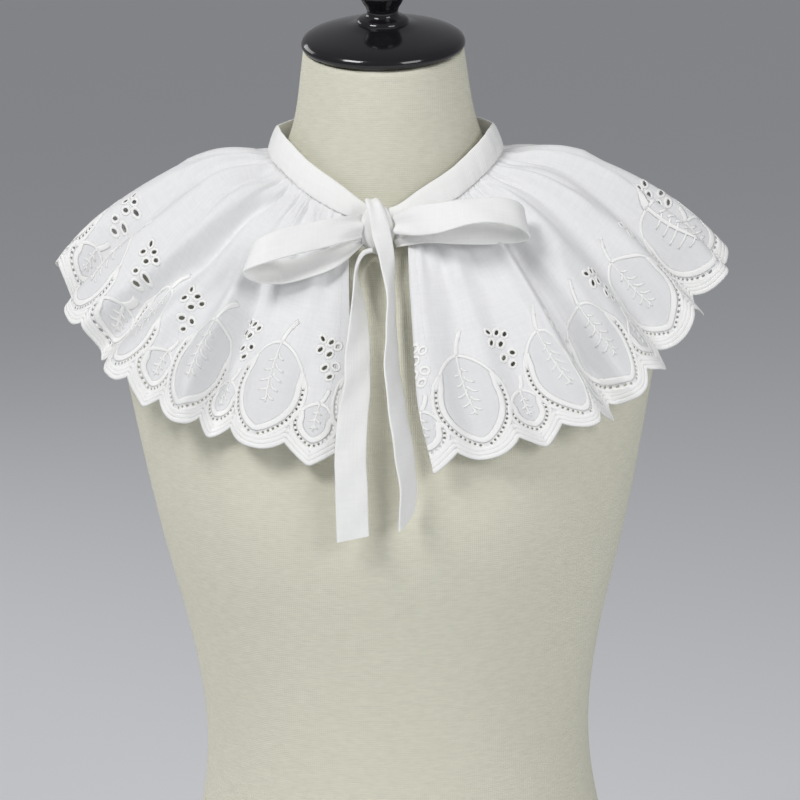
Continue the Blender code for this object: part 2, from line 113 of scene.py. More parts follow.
linen, tree, shader = finish_of("form_linen", (0.86, 0.82, 0.68), 0.92)
place = tree.nodes.new("ShaderNodeTexCoord").outputs["Object"]
slubs = slubs_of(tree, place, (1.0, 1.0, 5.0), 150.0, 6.0)
dyed(tree, shader, slubs, (0.62, 0.605, 0.495), (0.78, 0.763, 0.635))
warp, weft = [threads_of(tree, place, way, 260.0, 1.4) for way in ("X", "Z")]
raised(tree, shader, crossed(tree, warp, weft), 0.5, 0.0004)


def add_piece(name, bm, material):
    """A finished mesh as a smooth-shaded object of the scene."""
    mesh = bpy.data.meshes.new(name)
    bm.to_mesh(mesh)
    bm.free()
    mesh.materials.append(material)
    mesh.shade_smooth()
    piece = bpy.data.objects.new(name, mesh)
    bpy.context.scene.collection.objects.link(piece)
    return piece


RIM_ANGLE = 0.9
bm = bmesh.new()
bm.from_mesh(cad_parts["form_torso"].data)
bmesh.ops.remove_doubles(bm, verts=bm.verts, dist=1e-5)
bmesh.ops.join_triangles(bm, faces=bm.faces, angle_face_threshold=0.5, angle_shape_threshold=1.2)
crease = bm.edges.layers.float.new("crease_edge")
for edge in bm.edges:
    if edge.calc_face_angle(0.0) > RIM_ANGLE:
        edge[crease] = 1.0
torso = add_piece("torso_cover", bm, linen)
rounding = torso.modifiers.new("Rounding", "SUBSURF")
rounding.levels = 2
rounding.render_levels = 2
torso.data.set_sharp_from_angle(angle=math.radians(50))
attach(torso, "root")
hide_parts("form_torso")


# Cap
# A turned wooden disc with a knob, in black gloss lacquer, seated on the neck's tilted top.
# It is turned in one piece, so its profile is spun round the neck's axis.
lacquer, tree, shader = finish_of("cap_lacquer", (0.008, 0.007, 0.009), 0.10)
shader.inputs["Coat Weight"].default_value = 0.15
shader.inputs["Coat Roughness"].default_value = 0.03


def in_range(tree, value, low, high, from_low=0.0, from_high=1.0):
    """A value of one range brought into another."""
    brought = tree.nodes.new("ShaderNodeMapRange")
    brought.inputs["From Min"].default_value = from_low
    brought.inputs["From Max"].default_value = from_high
    brought.inputs["To Min"].default_value = low
    brought.inputs["To Max"].default_value = high
    tree.links.new(value, brought.inputs["Value"])
    return brought.outputs["Result"]


place = tree.nodes.new("ShaderNodeTexCoord").outputs["Object"]
smears = slubs_of(tree, place, (1.0, 1.0, 1.0), 45.0, 4.0)
tree.links.new(in_range(tree, smears, 0.07, 0.20), shader.inputs["Roughness"])

# radius, height
CAP_PROFILE = (
    (0.0000, 0.0440), (0.0050, 0.0438), (0.0090, 0.0428), (0.0122, 0.0408), (0.0140, 0.0380),
    (0.0145, 0.0350), (0.0138, 0.0318), (0.0122, 0.0288), (0.0104, 0.0262), (0.0095, 0.0238),
    (0.0096, 0.0218), (0.0106, 0.0203), (0.0136, 0.0194), (0.0154, 0.0184), (0.0160, 0.0170),
    (0.0158, 0.0158), (0.0170, 0.0151), (0.0240, 0.0138), (0.0320, 0.0121), (0.0400, 0.0101),
    (0.0460, 0.0080), (0.0487, 0.0062), (0.0498, 0.0042), (0.0498, 0.0026), (0.0488, 0.0012),
    (0.0470, 0.0003), (0.0000, 0.0003),
)
CAP_TILT = math.radians(15.0)
CAP_SEAT_Y = -0.0041
CAP_SEAT_Z = 0.7134
bm = bmesh.new()
profile = [bm.verts.new((radius, 0.0, height)) for radius, height in CAP_PROFILE]
edges = [bm.edges.new(pair) for pair in zip(profile, profile[1:])]
bmesh.ops.spin(bm, geom=profile + edges, cent=(0, 0, 0), axis=(0, 0, 1), angle=2 * math.pi,
               steps=96, use_merge=True)
bmesh.ops.remove_doubles(bm, verts=bm.verts, dist=1e-5)
bmesh.ops.recalc_face_normals(bm, faces=bm.faces)
for vert in bm.verts:
    x, y, z = vert.co
    vert.co = (x, y * math.cos(CAP_TILT) - z * math.sin(CAP_TILT) + CAP_SEAT_Y,
               y * math.sin(CAP_TILT) + z * math.cos(CAP_TILT) + CAP_SEAT_Z)
cap = add_piece("turned_cap", bm, lacquer)
cap.data.set_sharp_from_angle(angle=math.radians(40))
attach(cap, "root")
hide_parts("form_cap")


# Collar cloth
# One strip of sheer cotton voile, 1.102 m by 0.170 m, gathered along its upper edge and cut in
# scallops along its lower one. It is worked out flat, eyelets and all, and then draped in folds.
NECK_Z = 0.652
CUT_LENGTH = 1.102
CUT_DEPTH = 0.170
REPEAT = 0.064
HALF_REPEAT = 0.5 * REPEAT
FIRST_TIP = 0.014

# Rings of the resting cloth from the seam down, heights counted from the seam's level
# left, right, front, back, z_front, z_left, z_right, z_back,
# edge_left, edge_right, sag_left, sag_right, square_left, square_right
CLOTH_RINGS = (
    (0.0720, 0.0720, 0.0600, 0.0600, -0.0410, -0.0025, -0.0035, 0.0060,
     0.0225, 0.0120, 2.00, 2.00, 1.00, 1.00),
    (0.1090, 0.1100, 0.0840, 0.0830, -0.0720, -0.0010, -0.0030, -0.0180,
     0.0230, 0.0125, 2.00, 1.80, 1.00, 1.00),
    (0.1480, 0.1500, 0.1030, 0.1030, -0.1070, -0.0170, -0.0180, -0.0530,
     0.0235, 0.0140, 1.65, 1.45, 0.97, 1.00),
    (0.1850, 0.1880, 0.1160, 0.1160, -0.1430, -0.0410, -0.0430, -0.0900,
     0.0290, 0.0160, 1.35, 1.20, 0.93, 1.00),
    (0.2095, 0.2215, 0.1240, 0.1240, -0.1780, -0.0700, -0.0785, -0.1270,
     0.0340, 0.0235, 1.20, 1.10, 0.91, 1.00),
    (0.2230, 0.2410, 0.1290, 0.1300, -0.2130, -0.1000, -0.1130, -0.1640,
     0.0360, 0.0290, 1.15, 1.10, 0.91, 1.00),
)
# Long troughs between the folds, at degrees round from the left front edge
# at_hem, at_seam, deepest, degrees to the fold before, degrees to the fold after
TROUGHS = (
    (6.0, 6.0, 0.0040, 6.0, 6.0),
    (22.0, 28.0, 0.0130, 8.0, 5.5),
    (38.0, 30.5, 0.0090, 6.0, 6.0),
    (56.0, 35.0, 0.0180, 9.0, 4.5),
    (74.0, 63.0, 0.0160, 8.0, 8.0),
    (90.0, 84.0, 0.0170, 8.0, 8.0),
    (107.0, 105.0, 0.0140, 9.0, 9.0),
    (125.0, 124.0, 0.0120, 9.0, 9.0),
    (143.0, 142.0, 0.0110, 9.0, 10.0),
    (162.0, 161.0, 0.0090, 10.0, 9.0),
    (181.0, 180.0, 0.0110, 9.0, 9.0),
    (200.0, 199.0, 0.0100, 9.0, 10.0),
    (219.0, 218.0, 0.0110, 10.0, 9.0),
    (238.0, 237.0, 0.0110, 9.0, 9.0),
    (256.0, 256.0, 0.0140, 9.0, 9.0),
    (274.0, 273.0, 0.0160, 8.0, 8.5),
    (291.0, 289.0, 0.0180, 8.5, 8.5),
    (308.0, 306.0, 0.0160, 8.0, 8.0),
    (324.5, 324.5, 0.0160, 3.2, 7.5),
    (340.0, 338.0, 0.0070, 5.0, 6.0),
    (352.0, 347.0, 0.0060, 5.5, 5.0),
)
# Soft ridges between the long troughs, and soft troughs where the height is below zero
# degrees at the top, degrees at the bottom, depth of the top, depth of the bottom, height, half width
SOFT_CREASES = (
    (14.0, 10.0, 0.000, 0.070, 0.0024, 3.0),
    (21.0, 16.0, 0.006, 0.060, -0.0022, 2.0),
    (26.5, 23.5, 0.045, 0.160, -0.0032, 1.8),
    (31.0, 28.2, 0.045, 0.172, 0.0066, 2.2),
    (36.5, 45.5, 0.008, 0.105, -0.0034, 1.7),
    (43.0, 50.5, 0.004, 0.100, 0.0030, 2.6),
    (50.5, 50.0, 0.004, 0.045, -0.0030, 1.7),
    (56.5, 58.0, 0.000, 0.055, 0.0030, 2.4),
    (63.0, 64.0, 0.004, 0.060, -0.0026, 2.0),
    (69.5, 71.0, 0.000, 0.070, 0.0028, 2.4),
    (77.0, 80.0, 0.006, 0.050, -0.0022, 2.0),
    (84.0, 84.0, 0.050, 0.130, 0.0014, 2.4),
    (96.0, 98.0, 0.000, 0.070, 0.0024, 2.8),
    (104.0, 105.0, 0.004, 0.060, -0.0022, 2.2),
    (114.0, 116.0, 0.045, 0.130, 0.0016, 2.4),
    (119.0, 117.0, 0.000, 0.060, 0.0024, 2.8),
    (133.0, 134.0, 0.000, 0.075, 0.0024, 2.8),
    (150.0, 153.0, 0.000, 0.055, 0.0020, 2.6),
    (157.0, 155.0, 0.060, 0.140, 0.0014, 2.4),
    (170.0, 171.0, 0.000, 0.080, 0.0024, 2.8),
    (190.0, 191.0, 0.000, 0.060, 0.0022, 2.6),
    (209.0, 210.0, 0.000, 0.085, 0.0026, 3.0),
    (229.0, 227.0, 0.000, 0.050, 0.0021, 2.6),
    (232.0, 231.0, 0.050, 0.130, 0.0016, 2.2),
    (247.0, 248.0, 0.000, 0.075, 0.0025, 2.8),
    (258.0, 257.0, 0.004, 0.055, -0.0024, 2.0),
    (266.0, 266.0, 0.000, 0.065, 0.0026, 2.4),
    (281.0, 283.0, 0.000, 0.095, 0.0030, 2.6),
    (284.0, 281.0, 0.070, 0.150, 0.0016, 2.2),
    (297.0, 296.0, 0.004, 0.060, -0.0030, 1.9),
    (301.0, 300.0, 0.000, 0.080, 0.0028, 2.2),
    (313.5, 316.0, 0.000, 0.085, 0.0028, 2.6),
    (318.5, 319.5, 0.050, 0.140, 0.0022, 2.6),
    (325.3, 325.6, 0.036, 0.150, -0.0034, 1.5),
    (329.5, 329.4, 0.016, 0.175, 0.0080, 1.9),
    (344.0, 345.0, 0.000, 0.060, 0.0022, 2.4),
    (356.3, 357.3, 0.012, 0.130, 0.0034, 2.6),
)
# place along the strip, cloth taken up in the seam there
SEAM_TAKE_UP = (
    (0.000, 0.0130), (0.040, 0.0120), (0.078, 0.0070), (0.142, 0.0000), (0.206, 0.0000), (0.270, 0.0050),
    (0.334, 0.0160), (0.420, 0.0160), (0.526, 0.0140), (0.680, 0.0140), (0.782, 0.0040), (0.846, 0.0070),
    (0.910, 0.0070), (0.974, 0.0000), (1.038, 0.0100), (1.102, 0.0130),
)
# place along the strip, degrees by which the gathers are pushed round there
GATHER_PUSH = (
    (0.014, 0.0), (0.078, -1.0), (0.142, -3.0), (0.206, -6.0), (0.270, -9.0), (0.334, -9.0),
    (0.398, -6.0), (0.462, -3.0), (0.526, 0.0), (0.654, 4.0), (0.718, 7.0), (0.782, 10.0),
    (0.846, 10.5), (0.910, 8.5), (0.974, 3.5), (1.038, 0.0),
)


def smooth_rows(values, places):
    """Smooth values between equally spaced rows, read at places counted in rows."""
    values = np.asarray(values, float)
    cell = np.clip(np.floor(places).astype(int), 0, len(values) - 2)
    part = (places - cell)[:, None]
    ends = np.concatenate([2 * values[:1] - values[1:2], values, 2 * values[-1:] - values[-2:-1]])
    a, b, c, d = ends[cell], ends[cell + 1], ends[cell + 2], ends[cell + 3]
    return 0.5 * (2 * b + (c - a) * part + (2 * a - 5 * b + 4 * c - d) * part ** 2
                  + (3 * b - a - 3 * c + d) * part ** 3)


def cloth_ring(row, turn):
    """Points of one ring of the cloth at the given degrees from its left front edge."""
    left, right, front, back, z_front, z_left, z_right, z_back = row[:8]
    edge_left, edge_right, sag_left, sag_right, square_left, square_right = row[8:]
    start = math.asin((edge_left / left) ** (1 / square_left))
    end = 2 * math.pi - math.asin((edge_right / right) ** (1 / square_right))
    angle = start + (end - start) * turn / 360.0
    sine, cosine = np.sin(angle), np.cos(angle)
    on_left, ahead = sine > 0, cosine > 0
    side = np.where(on_left, z_left, z_right)
    square = np.where(ahead, np.where(on_left, square_left, square_right), 1.0)
    sag = np.where(on_left, sag_left, sag_right)
    x = -np.where(on_left, left, right) * np.sign(sine) * np.abs(sine) ** square
    y = np.where(ahead, -front * cosine, -back * cosine)
    z = np.where(ahead, side + (z_front - side) * np.abs(cosine) ** sag,
                 side + (z_back - side) * cosine ** 2)
    return np.stack([x, y, z], -1)


def sunk_in_troughs(turn, depth):
    """How far the cloth sinks inward from its resting form in its troughs, less its soft ridges."""
    down = np.clip(depth / CUT_DEPTH, 0.0, 1.1)
    sunk = np.zeros_like(depth)
    opened = np.clip(1.25 * down, 0, 1) ** 0.9
    for at_hem, at_seam, deepest, before, after in TROUGHS:
        away = turn - (at_seam + (at_hem - at_seam) * down)
        away = np.where(away < 0, away / before, away / after)
        sunk += deepest * opened * np.where(np.abs(away) < 1, np.cos(np.pi * away / 2) ** 2, 0.0)
    for turn_top, turn_bottom, top, bottom, tall, half_width in SOFT_CREASES:
        along = (depth - top) / (bottom - top)
        away = (turn - (turn_top + (turn_bottom - turn_top) * along)) / half_width
        ends = np.clip(4.0 * (1.02 - along), 0, 1) * np.clip(0.25 + 4.0 * along, 0, 1)
        sunk -= tall * ends ** 1.5 * np.exp(-away ** 2) * (along > -0.06)
    return sunk


GATHER = 0.016
FINE_GATHER = 0.0093


def sunk_in_gathers(along, depth):
    """Depth of the small gathers that the seam draws up, fading down the cloth and at the seam."""
    number = np.floor(along / GATHER)
    reach = 0.017 + 0.010 * (1 + np.sin(2.4 * number))
    size = 0.8 + 0.2 * np.sin(1.7 * number + 1.0)
    wave = np.sin(np.pi * along / GATHER) ** 2
    fine = np.sin(2 * np.pi * (along / FINE_GATHER + 0.4 * np.sin(along / 0.031)))
    sunk = 0.0030 * size * wave * np.exp(-(depth.clip(0) / reach) ** 1.5)
    sunk += 0.0009 * fine * np.exp(-(depth.clip(0) / 0.017) ** 1.5)
    return sunk * (1.0 - 0.75 * np.exp(-(depth.clip(0) / 0.005) ** 2))


def resting_lines(turn):
    """Lines of the resting cloth down from the seam at each turn: points, and lengths from the seam."""
    table = smooth_rows(CLOTH_RINGS, np.linspace(0, len(CLOTH_RINGS) - 1, 101))
    rings = np.array([cloth_ring(row, turn) for row in table])
    steps = np.linalg.norm(np.diff(rings, axis=0), axis=-1)
    return rings, np.concatenate([np.zeros((1, len(turn))), np.cumsum(steps, axis=0)])


def resting_cloth(turn, depth):
    """Points of the resting cloth at each depth (row) and turn (column), with its inward normals."""
    rings, fallen = resting_lines(turn)
    beside = resting_lines(turn + 0.5)[0] - rings
    points = np.empty((len(depth), len(turn), 3))
    slope = np.empty_like(points)
    across = np.empty_like(points)
    for column in range(len(turn)):
        for axis in range(3):
            line = rings[:, column, axis]
            points[:, column, axis] = np.interp(depth, fallen[:, column], line)
            slope[:, column, axis] = np.interp(depth + 0.004, fallen[:, column], line)
            across[:, column, axis] = np.interp(depth, fallen[:, column], beside[:, column, axis])
    normal = np.cross(slope - points, across)
    return points, normal / np.linalg.norm(normal, axis=-1, keepdims=True)


# The draped cloth, one point for each millimetre of its flat length and depth. The strip's
# length is spread along the folds as they lie at EVEN_DEPTH, and no point sinks into the form.
STEP = 0.001
EVEN_DEPTH = 0.8 * CUT_DEPTH
SMOOTHED_OVER = 0.025
CLEAR_OF_FORM = 0.0012
lengths = np.arange(0.0, CUT_LENGTH + STEP / 2, STEP)
depths = np.arange(0.0, CUT_DEPTH + 6 * STEP, STEP)
turns = np.linspace(0.0, 360.0, 1441)
points, normals = resting_cloth(turns, np.array([EVEN_DEPTH]))
line = points[0] + normals[0] * sunk_in_troughs(turns, np.full(len(turns), EVEN_DEPTH))[:, None]
arc = np.concatenate([[0.0], np.cumsum(np.linalg.norm(np.diff(line, axis=0), axis=-1))])
near = np.exp(-((lengths[:, None] - lengths[None, :]) / SMOOTHED_OVER) ** 2)
near /= near.sum(axis=1, keepdims=True)
TAKE_UP = near @ np.interp(lengths, *np.array(SEAM_TAKE_UP).T)
pushed = near @ np.interp(lengths, *np.array(GATHER_PUSH).T)
turns = np.interp(lengths, arc / arc[-1] * CUT_LENGTH, turns) + pushed
points, normals = resting_cloth(turns, depths)
grid = np.repeat(depths[:, None], len(lengths), axis=1)
sunk = sunk_in_troughs(turns[None, :], grid) + sunk_in_gathers(lengths[None, :], grid)
DRAPED = points + normals * sunk[..., None] + np.array([0.0, 0.0, NECK_Z])
torso_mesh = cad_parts["form_torso"].data
torso_skin = BVHTree.FromPolygons([vert.co for vert in torso_mesh.vertices],
                                  [face.vertices for face in torso_mesh.polygons])
for row in range(len(depths)):
    for column in range(len(lengths)):
        place = Vector(DRAPED[row, column])
        touch, outward, _, _ = torso_skin.find_nearest(place)
        short = CLEAR_OF_FORM - (place - touch).dot(outward)
        if short > 0:
            DRAPED[row, column] += np.array(outward) * short
FACING = np.cross(np.gradient(DRAPED, axis=1), np.gradient(DRAPED, axis=0))
FACING /= np.linalg.norm(FACING, axis=-1, keepdims=True)


TAKE_UP_REACH = 0.060


def drape(bm):
    """Moves a piece worked out flat, x along the cloth, -y down it and z off it, onto the folds."""
    flat = np.array([vert.co for vert in bm.verts])
    along, down, off = flat[:, 0].clip(0, CUT_LENGTH), -flat[:, 1], flat[:, 2]
    down = down - np.interp(along, lengths, TAKE_UP) * np.clip(down / TAKE_UP_REACH, 0, 1)
    column = np.clip((along / STEP).astype(int), 0, len(lengths) - 2)
    row = np.clip((down.clip(0) / STEP).astype(int), 0, len(depths) - 2)
    u = (along / STEP - column)[:, None]
    v = (down / STEP - row)[:, None]
    where, facing = [
        (table[row, column] * (1 - u) + table[row, column + 1] * u) * (1 - v)
        + (table[row + 1, column] * (1 - u) + table[row + 1, column + 1] * u) * v
        for table in (DRAPED, FACING)]
    for vert, place in zip(bm.verts, where + facing * off[:, None]):
        vert.co = place


def keep_flat_uv(bm):
    """Keeps each point's place on the flat cloth, in metres, as the piece's UV map."""
    uv = bm.loops.layers.uv.new("flat")
    for face in bm.faces:
        for loop in face.loops:
            loop[uv].uv = loop.vert.co.xy


# Half width of a small scallop, rise of the notches and of a large scallop's lowest point above
# the small scallops' tips, and how far the large one hangs below the notches
SMALL_SCALLOP = 0.0144
NOTCH_RISE = 0.0105
LARGE_RISE = 0.0030
LARGE_HANG = 0.0075


def hem_rise(across):
    """Rise of the hem above its tip line at places counted from the nearest small scallop's tip."""
    from_tip = np.abs(across)
    small = NOTCH_RISE * (from_tip / SMALL_SCALLOP) ** 1.15
    from_lowest = np.abs(HALF_REPEAT - from_tip) / (HALF_REPEAT - SMALL_SCALLOP)
    large = LARGE_RISE + LARGE_HANG * from_lowest ** 2.2
    return np.where(from_tip < SMALL_SCALLOP, small, large)


# How fast a leaf narrows to its lowest point and to its stem
POINTED = 1.55
TAPERED = 1.22


def leaf_line(turn, half_width, below, above, lean=0.0):
    """Outline of a leaf hung by its stem, at turns from its lowest point round to its stem."""
    turn = np.asarray(turn, float)
    swell = np.where(np.abs(turn) < np.pi / 2, POINTED, TAPERED)
    x = half_width * np.sign(np.sin(turn)) * np.abs(np.sin(turn)) ** swell
    y = -np.cos(turn) * np.where(np.abs(turn) < np.pi / 2, below, above)
    return np.stack([x + lean * (y.clip(0) / above) ** 2, y], -1)


def evenly(outline, spacing):
    """Points of a line a little over or under the given spacing apart."""
    steps = np.concatenate([[0.0], np.cumsum(np.linalg.norm(np.diff(outline, axis=0), axis=-1))])
    count = max(2, round(steps[-1] / spacing) + 1)
    at = np.linspace(0.0, steps[-1], count)
    return np.stack([np.interp(at, steps, outline[:, 0]), np.interp(at, steps, outline[:, 1])], -1)


# Middles on the flat cloth, seen from outside: a small leaf above each tip, a large leaf half a
# repeat to its side, and a cluster of eight eyelets above the small leaf
SMALL_LEAF = np.array([0.0, 0.0243 - CUT_DEPTH])
LARGE_LEAF = np.array([HALF_REPEAT, 0.0390 - CUT_DEPTH])
CLUSTER = np.array([0.0, 0.0660 - CUT_DEPTH])
# across, up, length, width, turn in degrees
EYELETS = (
    (0.0065, 0.0094, 0.0039, 0.0024, 38.0),
    (-0.0004, 0.0082, 0.0042, 0.0025, -32.0),
    (-0.0061, 0.0061, 0.0040, 0.0026, -20.0),
    (-0.0004, 0.0009, 0.0043, 0.0027, -30.0),
    (0.0068, 0.0027, 0.0041, 0.0025, -45.0),
    (-0.0065, -0.0059, 0.0042, 0.0026, 15.0),
    (0.0010, -0.0076, 0.0040, 0.0025, -35.0),
    (-0.0037, -0.0125, 0.0039, 0.0024, -25.0),
)
# half width, reach below the middle, reach above it, lean of the top
LARGE_SIZE = (0.0212, 0.0284, 0.0280, 0.002)
SMALL_SIZE = (0.0112, 0.0128, 0.0128, -0.001)
pin_line_large = LARGE_LEAF + leaf_line(np.radians(np.linspace(-98, 112, 181)), *LARGE_SIZE)
pin_line_small = SMALL_LEAF + leaf_line(np.radians(np.linspace(-96, 104, 181)), *SMALL_SIZE)
PIN_SPACING = 0.0030
PINHOLES = np.concatenate([evenly(pin_line_large, PIN_SPACING), evenly(pin_line_small, PIN_SPACING)])
PINHOLE_RADIUS = 0.00078


def oval(middle, length, width, turn, count):
    """Points round an oval hole."""
    angle = 2 * np.pi * np.arange(count) / count
    turn = math.radians(turn)
    x, y = 0.5 * length * np.cos(angle), 0.5 * width * np.sin(angle)
    return middle + np.stack([x * math.cos(turn) - y * math.sin(turn),
                              x * math.sin(turn) + y * math.cos(turn)], -1)


def in_leaf(x, y):
    """Whether a place on the flat cloth of one repeat lies inside a leaf, where the cloth is sheerer."""
    leaves = ((LARGE_LEAF, LARGE_SIZE), (LARGE_LEAF * (-1, 1), LARGE_SIZE), (SMALL_LEAF, SMALL_SIZE))
    for middle, (half_width, below, above, lean) in leaves:
        across, up = x - middle[0], y - middle[1]
        reach = above if up > 0 else below
        if abs(up) < reach:
            sine = math.sqrt(1.0 - (up / reach) ** 2)
            across -= lean * (max(up, 0.0) / above) ** 2
            if abs(across) < (half_width - 0.001) * sine ** (TAPERED if up > 0 else POINTED):
                return True
    return False


CLEAR_OF_HEM = 0.0011
CLEAR_OF_HOLES = 0.0007
WORKED_REACH = 0.0022


def one_repeat():
    """Flat cloth of one repeat, from half way before a small tip to half way after it, with its holes."""
    columns = np.linspace(-HALF_REPEAT, HALF_REPEAT, 29)
    rows = -np.linspace(-0.003, CUT_DEPTH, 72)
    hem_x = np.linspace(-HALF_REPEAT, HALF_REPEAT, 49)
    hem = np.stack([hem_x, hem_rise(hem_x) - CUT_DEPTH], -1)
    holes = [oval(CLUSTER + np.array(eyelet[:2]), *eyelet[2:], 14) for eyelet in EYELETS]
    for pin in PINHOLES:
        if pin[0] > HALF_REPEAT:
            pin = pin - np.array([REPEAT, 0.0])
        if abs(abs(pin[0]) - HALF_REPEAT) > PINHOLE_RADIUS + 0.0002:
            holes.append(oval(pin, 2 * PINHOLE_RADIUS, 2 * PINHOLE_RADIUS, 0.0, 8))
    loose = []
    middles = np.array([hole.mean(axis=0) for hole in holes])
    reach = np.array([np.linalg.norm(hole - hole.mean(axis=0), axis=1).max() for hole in holes])
    for x in columns:
        for y in rows:
            inside = y > hem_rise(np.array(x)) - CUT_DEPTH + CLEAR_OF_HEM
            clear = np.linalg.norm(middles - (x, y), axis=1) > reach + CLEAR_OF_HOLES
            if inside and (clear.all() or abs(x) == HALF_REPEAT):
                loose.append((x, y))
    flat = loose + [tuple(point) for point in hem]
    edges = [(len(loose) + i, len(loose) + i + 1) for i in range(len(hem) - 1)]
    for hole in holes:
        first = len(flat)
        flat += [tuple(point) for point in hole]
        edges += [(first + i, first + (i + 1) % len(hole)) for i in range(len(hole))]
    verts, _, faces, *_ = delaunay_2d_cdt([Vector(point) for point in flat], edges, [], 0, 1e-6)
    bm = bmesh.new()
    # -1 on the stitched ground round the pinholes, 0 on the plain voile, 1 inside the leaves
    thin = bm.verts.layers.float.new("thin")
    corners = [bm.verts.new((vert.x, vert.y, 0.0)) for vert in verts]
    for corner in corners:
        from_pin = np.linalg.norm(middles[len(EYELETS):] - corner.co.xy, axis=1).min()
        corner[thin] = -1.0 if from_pin < WORKED_REACH else float(in_leaf(corner.co.x, corner.co.y))
    # Faces below the hem, or with their middle inside the nearest hole, are left out
    for face in faces:
        middle = sum((verts[i] for i in face), Vector((0.0, 0.0))) / len(face)
        away = np.linalg.norm(middles - middle, axis=1)
        hole = holes[int(away.argmin())]
        size = np.linalg.norm(hole - hole.mean(axis=0), axis=1)
        turned = np.arctan2(*(np.array(middle) - hole.mean(axis=0))[::-1])
        angles = np.arctan2(*(hole - hole.mean(axis=0)).T[::-1])
        rim = size[np.abs(np.angle(np.exp(1j * (angles - turned)))).argmin()]
        below = middle.y < hem_rise(np.array(middle.x)) - CUT_DEPTH - 0.00002
        if not below and away.min() > 0.93 * rim * math.cos(math.pi / len(hole)):
            bm.faces.new([corners[i] for i in face])
    bmesh.ops.delete(bm, geom=[vert for vert in bm.verts if not vert.link_faces], context="VERTS")
    bmesh.ops.recalc_face_normals(bm, faces=bm.faces)
    if sum(face.normal.z for face in bm.faces) < 0:
        bmesh.ops.reverse_faces(bm, faces=bm.faces)
    return bm


def repeated(bm, first, last):
    """A flat piece's repeats side by side, joined, and cut off at the strip's two front edges."""
    one = list(bm.verts) + list(bm.edges) + list(bm.faces)
    for number in range(first, last + 1):
        copy = bmesh.ops.duplicate(bm, geom=one)["geom"]
        verts = [item for item in copy if isinstance(item, bmesh.types.BMVert)]
        bmesh.ops.translate(bm, verts=verts, vec=(FIRST_TIP + number * REPEAT, 0.0, 0.0))
    first_verts = [item for item in one if isinstance(item, bmesh.types.BMVert)]
    bmesh.ops.delete(bm, geom=first_verts, context="VERTS")
    bmesh.ops.remove_doubles(bm, verts=bm.verts, dist=6e-5)
    for edge, side in ((0.0, -1.0), (CUT_LENGTH, 1.0)):
        everything = list(bm.verts) + list(bm.edges) + list(bm.faces)
        bmesh.ops.bisect_plane(bm, geom=everything, dist=1e-6, plane_co=(edge, 0, 0),
                               plane_no=(side, 0, 0), clear_outer=True)
    return bm


voile, tree, shader = finish_of("collar_voile", (0.82, 0.83, 0.85), 0.86)
shader.inputs["Sheen Weight"].default_value = 0.25
shader.inputs["Sheen Roughness"].default_value = 0.5


def woven(tree, shader, pale, deep, thread=2100.0, strength=0.25):
    """Plain weave with slubs both ways on the flat cloth's own map, and its colour."""
    flat = tree.nodes.new("ShaderNodeUVMap")
    flat.uv_map = "flat"
    place = flat.outputs["UV"]
    warp, weft = [threads_of(tree, place, way, thread / (2 * math.pi), 1.2) for way in ("X", "Y")]
    raised(tree, shader, crossed(tree, warp, weft), strength, 0.0002)
    upright = slubs_of(tree, place, (1.0, 0.12, 1.0), 620.0, 4.0)
    level = slubs_of(tree, place, (0.12, 1.0, 1.0), 620.0, 4.0)
    tint = in_range(tree, crossed(tree, upright, level), 0.0, 1.0, 0.38, 0.62)
    return dyed(tree, shader, tint, deep, pale)


weave = woven(tree, shader, (0.90, 0.90, 0.905), (0.855, 0.857, 0.865))
# The voile is sheerest and greyest inside the leaves, and close and white round the pinholes
thin = tree.nodes.new("ShaderNodeAttribute")
thin.attribute_name = "thin"
thinness = thin.outputs["Fac"]
tree.links.new(in_range(tree, thinness, 0.96, 0.85, -1.0, 1.0), shader.inputs["Alpha"])
greyed = dyed(tree, shader, in_range(tree, thinness, 0.0, 0.45), weave, (0.82, 0.823, 0.835))
dyed(tree, shader, in_range(tree, thinness, 1.0, 0.0, -1.0, 0.0), greyed, (0.96, 0.96, 0.94))

VOILE_THICKNESS = 0.00035
LAST_REPEAT = 17
bm = repeated(one_repeat(), 0, LAST_REPEAT)
keep_flat_uv(bm)
drape(bm)
cloth = add_piece("collar_cloth", bm, voile)
wall = cloth.modifiers.new("Wall", "SOLIDIFY")
wall.thickness = VOILE_THICKNESS
wall.offset = 0.0
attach(cloth, "root")
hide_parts("cape_left", "cape_right")


# Whitework on the cloth
# Raised satin stitch in thick white cotton: three rows along the scallops, the outlines, veins
# and stems of the leaves, bands on both sides of the pinholes, and a ring round each eyelet.
satin, tree, shader = finish_of("satin_stitch", (0.90, 0.90, 0.88), 0.55)
shader.inputs["Sheen Weight"].default_value = 0.2
flat = tree.nodes.new("ShaderNodeUVMap")
flat.uv_map = "flat"
strands = slubs_of(tree, flat.outputs["UV"], (1.0, 1.0, 1.0), 2600.0, 2.0)
dyed(tree, shader, strands, (0.83, 0.83, 0.81), (0.95, 0.95, 0.93))
raised(tree, shader, strands, 0.35, 0.0002)

# width, height above and below its middle, and distance of its middle off the cloth
BORDER_ROW = (0.0031, 0.00040, 0.00012)
OUTLINE = (0.0023, 0.00030, 0.00020)
INSIDE_BAND = (0.0041, 0.00028, 0.00020)
OUTSIDE_BAND = (0.0024, 0.00030, 0.00020)
STEM = (0.0032, 0.00036, 0.00020)
VEIN = (0.0012, 0.00028, 0.00030)
EYELET_RING = (0.0020, 0.00036, 0.00018)


